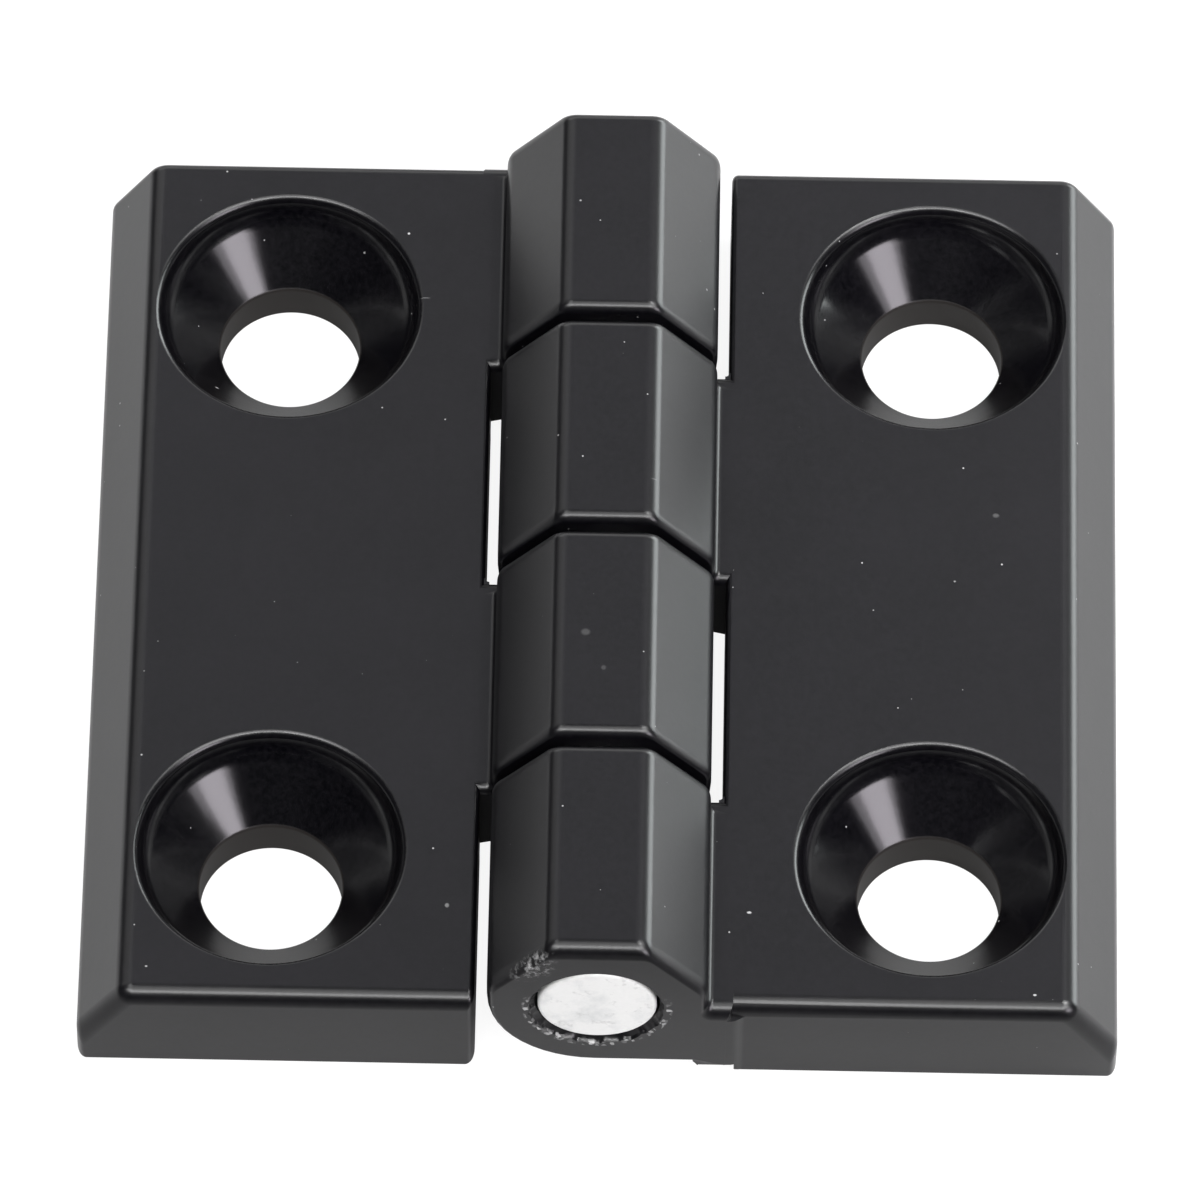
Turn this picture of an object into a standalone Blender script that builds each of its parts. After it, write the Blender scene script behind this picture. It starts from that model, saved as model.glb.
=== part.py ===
"""Butt hinge, 50 mm wide: two die-cast leaves with two knuckles each, on one pin.

The hinge lies opened flat on its back. The origin is on the back plane, under the pin, at the
middle of the leaves' length. +X runs across the leaves, +Y along the pin and +Z up out of the back.
Metres throughout. Sizes are from a photograph, scaled by the 50 mm width of this class of hinge.
"""
import cmath
import math

import bmesh
import bpy
from mathutils import Matrix, Vector

MM = 0.001

# Leaf plates
WIDTH = 50.0 * MM               # over both leaves
LEAF_LENGTH = 48.2 * MM         # along the pin
LEAF_THICKNESS = 6.0 * MM
BEVEL_WIDTH = 2.25 * MM         # sloping outer side, seen from above
LIP_HEIGHT = 2.35 * MM          # upright edge left under the sloping side
NEAR_ROUND = 0.82 * MM          # rounding of the near end faces' upper edges
FAR_ROUND = 0.55 * MM           # and of the far ones
SIDE_SHARE = 0.45               # share of it at upright edges
BACK_SHARE = 0.2                # and along the back
BACK_ROUND = 0.3 * MM           # rounding along the back's edges
LIP_ROUND = 1.3 * MM            # where the sloping side meets the lip
CREST_ROUND = 1.1 * MM          # where the sloping side meets the front
WALL_ROUND = 0.35 * MM          # front edge beside the other leaf's knuckles

# Knuckles
KNUCKLES = 4                    # the left leaf has the farthest, and then they take turns
KNUCKLE_GAP = 0.55 * MM
NEAR_OVERHANG = 0.3 * MM        # nearest knuckle's face past the plates' ends
FAR_INSET = 0.25 * MM           # farthest knuckle's face inside the plates' ends
BARREL_LIFT = 1.35 * MM         # knuckles' underside above the back plane
CROWN_RISE = 5.15 * MM          # flat top above the axis
CROWN_HALF = 2.25 * MM          # half the flat top's width
SHOULDER_RISE = 1.35 * MM       # foot of the sloping faces above the axis
BARREL_HALF = 5.28 * MM         # half the knuckle's width
BARREL_DROP = 4.95 * MM         # flat underside below the axis
BARREL_ROUND = 5.0 * MM         # round underside on the free side
CROWN_ROUND = 1.1 * MM
SHOULDER_ROUND = 1.3 * MM
KNUCKLE_END_ROUND = 0.55 * MM

# Webs, which join the knuckles to their plate
SWING_CLEARANCE = 0.25 * MM     # a turning knuckle's corner to the other leaf's plate
FOLD_CLEARANCE = 0.3 * MM       # folded back by 90 degrees: plate to plate
FOLD_HEADROOM = 0.62 * MM       # folded back by 90 degrees: plate edge to web
WEB_FILLET = 0.7 * MM           # knuckle's side to the plate's front
WEB_RAMP_START = 0.52 * MM      # ramp from the knuckle's underside down to the web's
WEB_RAMP_DROP = 0.6 * MM
WEB_RAMP_ROUND = 0.2 * MM
WEB_LAND = 0.17 * MM            # flat left on the web outside its roundings and the plate's
WEB_REACH = 0.33 * MM           # web past the knuckle's far face
WEB_LAP = 0.08 * MM             # and into its side

# Countersunk screw holes
HOLE_SHIFT = 0.465 * MM         # hole's middle outwards from the middle of the plate's width
HOLE_FROM_END = 8.5 * MM        # and from the plate's end
BORE_RADIUS = 3.45 * MM
BORE_DEPTH = 2.15 * MM          # straight part, from the back
RIM_RADIUS = 6.4 * MM           # at the front
RIM_DRAFT = 0.5 * MM            # the upper wall leans in by this much
RIM_ROUND = 0.6 * MM
RIM_EXIT = math.radians(20.0)   # slope at which the rim's rounding runs out through the front
SINK_ROUND = 1.4 * MM           # upper wall to cone
THROAT_ROUND = 0.25 * MM        # cone to straight bore
BACK_BREAK = 0.15 * MM

# Pin
PIN_RADIUS = 2.85 * MM
PIN_CLEARANCE = 0.15 * MM
PIN_RECESS = 0.05 * MM          # each end of the pin, inside the outer knuckle's face
PIN_ROUND = 0.2 * MM
MOUTH_BREAK = 0.12 * MM         # broken edge of the pin bore

# Facets
ARC_STEP = math.radians(15.0)
END_STEPS = 4                   # steps in the rounding of a swept shape's ends
PIN_STEPS = 3                   # and of the pin's
SMALLEST_RADIUS = 0.01 * MM
SNAP_DIGITS = 9                 # places are kept to a nanometre, so that flush faces are one plane
HOLE_SEGMENTS = 48
PIN_SEGMENTS = 48
SHARP_ANGLE = math.radians(30.0)
OVERRUN = 1.0 * MM              # how far cutters pass the faces that they cut

# Derived places
AXIS_HEIGHT = BARREL_LIFT + BARREL_DROP
PIN_AXIS = Vector((0.0, 0.0, AXIS_HEIGHT))
SWING_RADIUS = max(math.hypot(CROWN_HALF, CROWN_RISE), math.hypot(BARREL_HALF, SHOULDER_RISE), BARREL_DROP)
SLOT_WALL = SWING_RADIUS + SWING_CLEARANCE
RELIEF_EDGE = max(AXIS_HEIGHT, SLOT_WALL) + FOLD_CLEARANCE
WEB_BOTTOM = max(AXIS_HEIGHT - SLOT_WALL, 0.0) + FOLD_HEADROOM
WEB_ROUNDS = WEB_FILLET + KNUCKLE_END_ROUND * SIDE_SHARE
WEB_END = max(SLOT_WALL + WALL_ROUND, BARREL_HALF + WEB_ROUNDS) + WEB_LAND
STACK_NEAR = -LEAF_LENGTH / 2 - NEAR_OVERHANG
STACK_FAR = LEAF_LENGTH / 2 - FAR_INSET
KNUCKLE_LENGTH = (STACK_FAR - STACK_NEAR - (KNUCKLES - 1) * KNUCKLE_GAP) / KNUCKLES
PIN_BORE = PIN_RADIUS + PIN_CLEARANCE

BLACK = (0.030, 0.030, 0.032, 1.0)
BLACK_ROUGHNESS = 0.42
STEEL = (0.72, 0.72, 0.72, 1.0)
STEEL_ROUGHNESS = 0.35


def clear_scene():
    for item in list(bpy.data.objects):
        bpy.data.objects.remove(item, do_unlink=True)


def finish(name, colour, roughness, metallic):
    material = bpy.data.materials.new(name)
    material.use_nodes = True
    shader = material.node_tree.nodes["Principled BSDF"]
    shader.inputs["Base Color"].default_value = colour
    shader.inputs["Roughness"].default_value = roughness
    shader.inputs["Metallic"].default_value = metallic
    return material


def new_object(name, mesh_data):
    """Makes an object from a bmesh in world coordinates, with its origin on the pin axis."""
    bmesh.ops.recalc_face_normals(mesh_data, faces=mesh_data.faces)
    bmesh.ops.translate(mesh_data, verts=mesh_data.verts, vec=-PIN_AXIS)
    mesh = bpy.data.meshes.new(name)
    mesh_data.to_mesh(mesh)
    mesh_data.free()
    mesh.shade_smooth()
    mesh.set_sharp_from_angle(angle=SHARP_ANGLE)
    item = bpy.data.objects.new(name, mesh)
    item.location = PIN_AXIS
    bpy.context.scene.collection.objects.link(item)
    return item


def as_tool(item):
    item.hide_render = True
    item.display_type = "WIRE"
    return item


def combine(item, operation, tool):
    modifier = item.modifiers.new(tool.name, "BOOLEAN")
    modifier.operation = operation
    modifier.solver = "EXACT"
    modifier.object = as_tool(tool)


def inset_share(direction):
    """How much of an end's rounding an edge of the outline takes: all where it faces up."""
    facing_up = (-1j * direction).imag
    if facing_up > 0.1:
        return 1.0
    return SIDE_SHARE if facing_up > -0.1 else BACK_SHARE


def round_corners(corners, inset=0.0):
    """Outline of a polygon with arcs at its corners, moved inwards by each edge's share of inset.

    Corners run counter-clockwise as (across, up, radius), and the points come back as pairs. Their
    number doesn't depend on the inset, so two outlines of one polygon can be joined point to point.
    """
    places = [complex(across, up) for across, up, radius in corners]
    points = []
    for here, place in enumerate(places):
        arriving = place - places[here - 1]
        leaving = places[(here + 1) % len(places)] - place
        arriving /= abs(arriving)
        leaving /= abs(leaving)
        turn = cmath.phase(leaving / arriving)
        side = math.copysign(1.0, turn)
        first = inset * inset_share(arriving)
        second = inset * inset_share(leaving)
        radius = max(corners[here][2] - side * min(first, second), SMALLEST_RADIUS)
        corner = place + (first * leaving - second * arriving) / math.sin(turn)
        spoke = -1j * arriving * side * radius
        centre = corner - arriving * radius * math.tan(abs(turn) / 2) - spoke
        steps = max(1, math.ceil(abs(turn) / ARC_STEP - 0.01))
        for step in range(steps + 1):
            point = centre + spoke * cmath.rect(1.0, turn * step / steps)
            points.append((round(point.real, SNAP_DIGITS), round(point.imag, SNAP_DIGITS)))
    return points


def end_stations(end_round):
    """Distances from a swept shape's end, each with its inset, round a quarter turn."""
    steps = END_STEPS if end_round > 0.0 else 0
    angles = [math.pi / 2 * step / max(steps, 1) for step in range(steps + 1)]
    return [(end_round * (1 - math.cos(angle)), end_round * (1 - math.sin(angle))) for angle in angles]


def add_prism(mesh_data, corners, low, high, near_round, far_round):
    """Adds the outline, drawn across and up, swept along Y, with its end edges rounded."""
    stations = [(low + along, inset) for along, inset in end_stations(near_round)]
    stations += [(high - along, inset) for along, inset in reversed(end_stations(far_round))]
    rings = []
    for along, inset in stations:
        outline = round_corners(corners, inset)
        rings.append([mesh_data.verts.new((across, along, up)) for across, up in outline])
    for first, second in zip(rings, rings[1:]):
        for index in range(len(first)):
            mesh_data.faces.new((first[index - 1], first[index], second[index], second[index - 1]))
    mesh_data.faces.new(rings[0])
    mesh_data.faces.new(rings[-1])


def add_turned(mesh_data, profile, segments, matrix):
    """Adds a solid turned about Z from (radius, height) points, then placed by the matrix."""
    rings = []
    for radius, height in profile:
        ring = []
        for segment in range(segments):
            angle = 2 * math.pi * segment / segments
            spot = Vector((radius * math.cos(angle), radius * math.sin(angle), height))
            ring.append(mesh_data.verts.new(matrix @ spot))
        rings.append(ring)
    for first, second in zip(rings, rings[1:]):
        for index in range(segments):
            mesh_data.faces.new((first[index - 1], first[index], second[index], second[index - 1]))
    mesh_data.faces.new(rings[0])
    mesh_data.faces.new(rings[-1])


def mirrored(corners, side):
    """The outline for the leaf on that side: 1 is right, -1 is left."""
    if side > 0:
        return corners
    return [(-across, up, radius) for across, up, radius in reversed(corners)]


def plate_outline():
    outer = WIDTH / 2
    return [
        (SLOT_WALL, 0.0, BACK_ROUND),
        (outer, 0.0, BACK_ROUND),
        (outer, LIP_HEIGHT, LIP_ROUND),
        (outer - BEVEL_WIDTH, LEAF_THICKNESS, CREST_ROUND),
        (SLOT_WALL, LEAF_THICKNESS, WALL_ROUND),
    ]


def knuckle_outline():
    """Flat-topped knuckle with a round free side, and the web on its other side."""
    bottom = AXIS_HEIGHT - BARREL_DROP
    shoulder = AXIS_HEIGHT + SHOULDER_RISE
    crown = AXIS_HEIGHT + CROWN_RISE
    free_round = min(BARREL_ROUND, BARREL_DROP + SHOULDER_RISE - SHOULDER_ROUND)
    return [
        (-BARREL_HALF, bottom, free_round),
        (BARREL_HALF - WEB_RAMP_START, bottom, WEB_RAMP_ROUND),
        (WEB_END, bottom - WEB_RAMP_DROP, 0.0),
        (WEB_END, LEAF_THICKNESS, 0.0),
        (BARREL_HALF, LEAF_THICKNESS, WEB_FILLET),
        (BARREL_HALF, shoulder, SHOULDER_ROUND),
        (CROWN_HALF, crown, CROWN_ROUND),
        (-CROWN_HALF, crown, CROWN_ROUND),
        (-BARREL_HALF, shoulder, SHOULDER_ROUND),
    ]


def knuckle_span(index):
    """Near and far end of a knuckle, counted from the near end of the hinge."""
    near = STACK_NEAR + index * (KNUCKLE_LENGTH + KNUCKLE_GAP)
    return near, near + KNUCKLE_LENGTH


def own_knuckles(side):
    """Knuckles of one leaf: the right leaf has the nearest one, then every second."""
    first = 0 if side > 0 else 1
    return range(first, KNUCKLES, 2)


def knuckles(name, side):
    mesh_data = bmesh.new()
    outline = mirrored(knuckle_outline(), side)
    for index in own_knuckles(side):
        near, far = knuckle_span(index)
        add_prism(mesh_data, outline, near, far, KNUCKLE_END_ROUND, KNUCKLE_END_ROUND)
    return new_object(name, mesh_data)


def web_ends(name, side):
    """The webs run on a little past their knuckles' far faces."""
    mesh_data = bmesh.new()
    bottom = AXIS_HEIGHT - BARREL_DROP - WEB_RAMP_DROP
    corners = [
        (BARREL_HALF - WEB_LAP, bottom, 0.0),
        (WEB_END, bottom, 0.0),
        (WEB_END, LEAF_THICKNESS, 0.0),
        (BARREL_HALF - WEB_LAP, LEAF_THICKNESS, 0.0),
    ]
    for index in own_knuckles(side):
        near, far = knuckle_span(index)
        middle = (near + far) / 2
        add_prism(mesh_data, mirrored(corners, side), middle, far + WEB_REACH, 0.0, KNUCKLE_END_ROUND)
    return new_object(name, mesh_data)


def reliefs(name, side):
    """Room under the webs for the other plate's edge, when the leaves are folded back."""
    mesh_data = bmesh.new()
    corners = [
        (SLOT_WALL - OVERRUN, -OVERRUN, 0.0),
        (RELIEF_EDGE, -OVERRUN, 0.0),
        (RELIEF_EDGE, WEB_BOTTOM, 0.0),
        (SLOT_WALL - OVERRUN, WEB_BOTTOM, 0.0),
    ]
    for index in own_knuckles(side):
        near, far = knuckle_span(index)
        low = near - KNUCKLE_GAP
        high = far + KNUCKLE_GAP
        if index == 0:
            low = -LEAF_LENGTH / 2 - OVERRUN
        if index == KNUCKLES - 1:
            high = LEAF_LENGTH / 2 + OVERRUN
        add_prism(mesh_data, mirrored(corners, side), low, high, 0.0, 0.0)
    return new_object(name, mesh_data)


def hole_profile():
    """Half section of a screw hole, from under the back to over the front."""
    top = LEAF_THICKNESS
    neck = RIM_RADIUS - RIM_DRAFT
    neck_height = BORE_DEPTH + neck - BORE_RADIUS
    corners = [
        (0.0, BACK_BREAK - 2 * OVERRUN, 0.0),
        (BORE_RADIUS + BACK_BREAK + OVERRUN, -OVERRUN, 0.0),
        (BORE_RADIUS, BACK_BREAK, 0.0),
        (BORE_RADIUS, BORE_DEPTH, THROAT_ROUND),
        (neck, neck_height, SINK_ROUND),
        (RIM_RADIUS, top, RIM_ROUND),
        (RIM_RADIUS + OVERRUN, top + OVERRUN * math.tan(RIM_EXIT), 0.0),
        (RIM_RADIUS + OVERRUN, top + 2 * OVERRUN, 0.0),
        (0.0, top + 2 * OVERRUN, 0.0),
    ]
    return [(radius, height) for radius, height in round_corners(corners) if radius > BORE_RADIUS / 2]


def screw_holes(name, side):
    mesh_data = bmesh.new()
    profile = hole_profile()
    for end in (-1, 1):
        across = side * ((SLOT_WALL + WIDTH / 2) / 2 + HOLE_SHIFT)
        along = end * (LEAF_LENGTH / 2 - HOLE_FROM_END)
        place = Matrix.Translation((across, along, 0.0))
        add_turned(mesh_data, profile, HOLE_SEGMENTS, place)
    return new_object(name, mesh_data)


def along_pin():
    """Turns a profile about the pin axis, with its heights running along +Y."""
    return Matrix.Translation(PIN_AXIS) @ Matrix.Rotation(math.radians(-90.0), 4, "X")


def pin_bore(name):
    """Cutter for the bore through all knuckles, with a broken edge at each outer mouth."""
    profile = [
        (PIN_BORE + MOUTH_BREAK + OVERRUN, STACK_NEAR - OVERRUN),
        (PIN_BORE, STACK_NEAR + MOUTH_BREAK),
        (PIN_BORE, STACK_FAR - MOUTH_BREAK),
        (PIN_BORE + MOUTH_BREAK + OVERRUN, STACK_FAR + OVERRUN),
    ]
    mesh_data = bmesh.new()
    add_turned(mesh_data, profile, PIN_SEGMENTS, along_pin())
    return new_object(name, mesh_data)


def leaf(name, side, material):
    mesh_data = bmesh.new()
    half = LEAF_LENGTH / 2
    add_prism(mesh_data, mirrored(plate_outline(), side), -half, half, NEAR_ROUND, FAR_ROUND)
    item = new_object(name, mesh_data)
    combine(item, "UNION", knuckles(name + ".knuckles", side))
    combine(item, "UNION", web_ends(name + ".web_ends", side))
    combine(item, "DIFFERENCE", reliefs(name + ".reliefs", side))
    combine(item, "DIFFERENCE", screw_holes(name + ".screw_holes", side))
    combine(item, "DIFFERENCE", pin_bore(name + ".pin_bore"))
    item.data.materials.append(material)
    return item


def hinge_pin(name, material):
    near = STACK_NEAR + PIN_RECESS
    far = STACK_FAR - PIN_RECESS
    profile = []
    for step in range(PIN_STEPS + 1):
        angle = math.pi / 2 * step / PIN_STEPS
        inset = PIN_ROUND * (1 - math.sin(angle))
        profile.append((PIN_RADIUS - inset, near + PIN_ROUND * (1 - math.cos(angle))))
    profile += [(radius, near + far - height) for radius, height in reversed(profile)]
    mesh_data = bmesh.new()
    add_turned(mesh_data, profile, PIN_SEGMENTS, along_pin())
    item = new_object(name, mesh_data)
    item.data.materials.append(material)
    return item


def main():
    clear_scene()
    coat = finish("black_powder_coat", BLACK, BLACK_ROUGHNESS, 0.0)
    steel = finish("bare_steel", STEEL, STEEL_ROUGHNESS, 1.0)
    leaf("left_leaf", -1, coat)
    leaf("right_leaf", 1, coat)
    hinge_pin("hinge_pin", steel)


main()
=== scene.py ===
"""Looks of the butt hinge: satin black powder coat on die-cast leaves, and a bare cropped pin."""

import cmath
import math

import bmesh
import bpy
from mathutils import Matrix, Vector

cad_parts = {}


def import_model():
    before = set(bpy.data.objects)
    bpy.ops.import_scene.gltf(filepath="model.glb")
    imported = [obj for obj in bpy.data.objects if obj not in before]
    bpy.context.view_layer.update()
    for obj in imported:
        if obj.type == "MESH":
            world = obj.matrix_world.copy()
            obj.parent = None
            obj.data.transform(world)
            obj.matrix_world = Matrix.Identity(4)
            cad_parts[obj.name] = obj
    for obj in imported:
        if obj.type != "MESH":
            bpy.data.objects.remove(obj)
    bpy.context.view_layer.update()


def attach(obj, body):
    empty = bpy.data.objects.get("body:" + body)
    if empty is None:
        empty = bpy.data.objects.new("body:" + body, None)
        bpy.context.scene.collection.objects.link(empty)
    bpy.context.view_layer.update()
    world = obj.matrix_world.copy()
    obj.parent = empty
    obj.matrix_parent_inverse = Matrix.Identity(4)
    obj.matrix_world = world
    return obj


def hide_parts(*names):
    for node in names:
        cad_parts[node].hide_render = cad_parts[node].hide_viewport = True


MM = 0.001

# Plates. The main sizes are those of the part's source, and some of the roundings differ a little.
WIDTH = 50.0 * MM
LEAF_LENGTH = 48.2 * MM
LEAF_THICKNESS = 6.0 * MM
BEVEL_WIDTH = 2.25 * MM
LIP_HEIGHT = 2.35 * MM
NEAR_ROUND = 0.82 * MM
NEAR_DROP = 0.85 * MM
FAR_ROUND = 0.55 * MM
END_KNUCKLE_ROUND = 0.8 * MM
BACK_ROUND = 0.3 * MM
LIP_ROUND = 1.3 * MM
CREST_ROUND = 1.1 * MM
WALL_ROUND = 0.35 * MM

# Shares of an end rounding by how far an edge of the outline faces up
SLOPE_SHARE = 0.45
SIDE_SHARE = 0.45
LOW_SHARE = 0.2
KNUCKLE_SLOPE_LEAST = 0.58
KNUCKLE_SLOPE_MOST = 0.9
SIDEWAYS = 0.1

# Knuckles
KNUCKLES = 4
KNUCKLE_GAP = 0.55 * MM
NEAR_OVERHANG = 0.3 * MM
FAR_INSET = 0.25 * MM
AXIS_HEIGHT = 6.3 * MM
CROWN_RISE = 5.15 * MM
CROWN_HALF = 2.25 * MM
SHOULDER_RISE = 1.35 * MM
BARREL_HALF = 5.28 * MM
BARREL_DROP = 4.95 * MM
BARREL_ROUND = 5.0 * MM
CROWN_ROUND = 1.1 * MM
SHOULDER_ROUND = 1.3 * MM
KNUCKLE_LENGTH = (LEAF_LENGTH + NEAR_OVERHANG - FAR_INSET - (KNUCKLES - 1) * KNUCKLE_GAP) / KNUCKLES
STACK_NEAR = -LEAF_LENGTH / 2 - NEAR_OVERHANG
STACK_FAR = LEAF_LENGTH / 2 - FAR_INSET

# Webs and the room under them
SLOT_WALL = 5.87 * MM
RELIEF_EDGE = 6.6 * MM
WEB_BOTTOM = 1.05 * MM
WEB_FILLET = 0.3 * MM
WEB_RAMP_START = 0.52 * MM
WEB_RAMP_DROP = 0.6 * MM
WEB_RAMP_ROUND = 0.2 * MM
WEB_REACH = 0.33 * MM
WEB_LAP = 0.08 * MM
WEB_END = 6.5 * MM
FOOT_FILLET = 0.2 * MM
FOOT_SINK = 0.15 * MM
OVERHANG_LAP = 0.1 * MM
# Millimetres across and up along the foot of the end knuckle's web, and the share of the overhang left
BLEND_POINTS = (
    (4.62, 1.34, 0.97),
    (4.70, 1.24, 0.97),
    (4.85, 0.98, 0.97),
    (4.95, 0.90, 0.97),
    (6.20, 0.84, 0.97),
    (6.45, 0.74, 0.95),
    (6.62, 0.58, 0.82),
    (6.78, 0.40, 0.50),
    (6.95, 0.26, 0.16),
    (7.10, 0.20, 0.0),
)

# Screw holes
HOLE_SIDEWAYS = 15.9 * MM
HOLE_ALONG = 15.6 * MM
BORE_RADIUS = 3.45 * MM
BORE_DEPTH = 2.15 * MM
RIM_RADIUS = 6.4 * MM
RIM_DRAFT = 0.2 * MM
RIM_ROUND = 0.5 * MM
RIM_EXIT = math.radians(4.0)
SINK_ROUND = 2.2 * MM
THROAT_ROUND = 0.25 * MM
BACK_BREAK = 0.15 * MM

# Pin
PIN_RADIUS = 2.85 * MM
PIN_BORE = 3.0 * MM
PIN_RECESS = 0.05 * MM
PIN_ROUND = 0.2 * MM
MOUTH_BREAK = 0.12 * MM

# Chipped coating round the bore's near mouth. Each wave is a count round the mouth, a phase and a share,
# and each station is a share of the way in and of the depth.
CHIP_LEAST = 0.05 * MM
CHIP_MOST = 0.46 * MM
CHIP_ALONG = 0.35 * MM
CHIP_TURN = math.radians(75.0)
CHIP_WAVES = ((11, 0.6, 0.2), (23, 0.0, 0.2), (41, 2.0, 0.1))
CHIP_LOW_SIDE_GAIN = 1.25
CHIP_EVEN = 0.45
CHIP_RAGGED = 0.55
CHIP_STATIONS = ((0.0, 1.0), (0.45, 0.8), (1.0, -0.1))
CHIP_SEGMENTS = 256

# Smoothness
ARC_STEP = math.radians(7.5)
END_STEPS = 8
HOLE_SEGMENTS = 144
PIN_SEGMENTS = 128
SMALLEST_RADIUS = 0.01 * MM
SNAP_DIGITS = 9
SHARP_ANGLE = math.radians(35.0)
OVERRUN = 1.0 * MM

# Camera, fitted to the photograph. Focal length and frame are in its pixels, place in metres.
FRAME_PIXELS = 1200.0
FOCAL_PIXELS = 13154.0
SENSOR = 36.0
FARTHEST_SEEN = 20.0
CAMERA_PLACE = (0.0021485, -0.3424922, 0.5476219)
CAMERA_TURN = (0.5622000, -0.0065636, 0.0174869)


def inset_share(direction):
    """How much of the end rounding an edge of the outline takes: all on top, less elsewhere."""
    facing_up = (-1j * direction).imag
    if KNUCKLE_SLOPE_LEAST < facing_up < KNUCKLE_SLOPE_MOST:
        return SLOPE_SHARE
    if facing_up > SIDEWAYS:
        return 1.0
    return SIDE_SHARE if facing_up > -SIDEWAYS else LOW_SHARE


def round_corners(corners, inset=0.0):
    """Outline of a polygon, given as (across, up, radius), with arcs at its corners."""
    places = [complex(across, up) for across, up, radius in corners]
    points = []
    for here, place in enumerate(places):
        arriving = place - places[here - 1]
        leaving = places[(here + 1) % len(places)] - place
        arriving /= abs(arriving)
        leaving /= abs(leaving)
        turn = cmath.phase(leaving / arriving)
        side = math.copysign(1.0, turn)
        first = inset * inset_share(arriving)
        second = inset * inset_share(leaving)
        radius = max(corners[here][2] - side * min(first, second), SMALLEST_RADIUS)
        corner = place + (first * leaving - second * arriving) / math.sin(turn)
        spoke = -1j * arriving * side * radius
        centre = corner - arriving * radius * math.tan(abs(turn) / 2) - spoke
        steps = max(1, math.ceil(abs(turn) / ARC_STEP - 0.01))
        for step in range(steps + 1):
            point = centre + spoke * cmath.rect(1.0, turn * step / steps)
            points.append((round(point.real, SNAP_DIGITS), round(point.imag, SNAP_DIGITS)))
    return points


def add_rings(mesh_data, rings):
    for first, second in zip(rings, rings[1:]):
        for index in range(len(first)):
            mesh_data.faces.new((first[index - 1], first[index], second[index], second[index - 1]))
    mesh_data.faces.new(rings[0])
    mesh_data.faces.new(rings[-1])


def end_stations(end_round, drop):
    """Distances from the end, each with its inset, round a quarter turn."""
    steps = END_STEPS if end_round > 0.0 else 0
    angles = [math.pi / 2 * step / max(steps, 1) for step in range(steps + 1)]
    return [(end_round * (1 - math.cos(angle)), drop * (1 - math.sin(angle))) for angle in angles]


def add_prism(mesh_data, corners, low, high, near_round, far_round, near_drop=None):
    """Adds the outline swept along Y, with its end edges rounded."""
    drop = near_round if near_drop is None else near_drop
    stations = [(low + along, inset) for along, inset in end_stations(near_round, drop)]
    stations += [(high - along, inset) for along, inset in reversed(end_stations(far_round, far_round))]
    rings = []
    for along, inset in stations:
        outline = round_corners(corners, inset)
        rings.append([mesh_data.verts.new((across, along, up)) for across, up in outline])
    add_rings(mesh_data, rings)


def add_turned(mesh_data, profile, segments, matrix):
    """Adds a solid turned about Z from (radius, height) points, then placed by the matrix."""
    rings = []
    for radius, height in profile:
        ring = []
        for segment in range(segments):
            angle = 2 * math.pi * segment / segments
            spot = Vector((radius * math.cos(angle), radius * math.sin(angle), height))
            ring.append(mesh_data.verts.new(matrix @ spot))
        rings.append(ring)
    add_rings(mesh_data, rings)


def new_object(name, mesh_data):
    bmesh.ops.recalc_face_normals(mesh_data, faces=mesh_data.faces)
    mesh = bpy.data.meshes.new(name)
    mesh_data.to_mesh(mesh)
    mesh_data.free()
    item = bpy.data.objects.new(name, mesh)
    bpy.context.scene.collection.objects.link(item)
    return item


def mirrored(corners, side):
    """The outline for the leaf on that side: 1 is right, -1 is left."""
    if side > 0:
        return corners
    return [(-across, up, radius) for across, up, radius in reversed(corners)]


def plate_outline():
    outer = WIDTH / 2
    return [
        (SLOT_WALL, 0.0, BACK_ROUND),
        (outer, 0.0, BACK_ROUND),
        (outer, LIP_HEIGHT, LIP_ROUND),
        (outer - BEVEL_WIDTH, LEAF_THICKNESS, CREST_ROUND),
        (SLOT_WALL, LEAF_THICKNESS, WALL_ROUND),
    ]


def knuckle_outline():
    bottom = AXIS_HEIGHT - BARREL_DROP
    shoulder = AXIS_HEIGHT + SHOULDER_RISE
    crown = AXIS_HEIGHT + CROWN_RISE
    return [
        (-BARREL_HALF, bottom, BARREL_ROUND),
        (BARREL_HALF - WEB_RAMP_START, bottom, WEB_RAMP_ROUND),
        (WEB_END, bottom - WEB_RAMP_DROP, 0.0),
        (WEB_END, LEAF_THICKNESS, 0.0),
        (BARREL_HALF, LEAF_THICKNESS, WEB_FILLET),
        (BARREL_HALF, shoulder, SHOULDER_ROUND),
        (CROWN_HALF, crown, CROWN_ROUND),
        (-CROWN_HALF, crown, CROWN_ROUND),
        (-BARREL_HALF, shoulder, SHOULDER_ROUND),
    ]


def knuckle_span(index):
    near = STACK_NEAR + index * (KNUCKLE_LENGTH + KNUCKLE_GAP)
    return near, near + KNUCKLE_LENGTH


def own_knuckles(side):
    first = 0 if side > 0 else 1
    return range(first, KNUCKLES, 2)


def knuckles(name, side):
    mesh_data = bmesh.new()
    outline = mirrored(knuckle_outline(), side)
    for index in own_knuckles(side):
        near, far = knuckle_span(index)
        near_round = END_KNUCKLE_ROUND if index == 0 else FAR_ROUND
        add_prism(mesh_data, outline, near, far, near_round, FAR_ROUND)
    return new_object(name, mesh_data)


def add_column(mesh_data, points, low, high):
    """Adds an upright solid over (across, along) points."""
    rings = []
    for up in (low, high):
        rings.append([mesh_data.verts.new((across, along, up)) for across, along in points])
    add_rings(mesh_data, rings)


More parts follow.
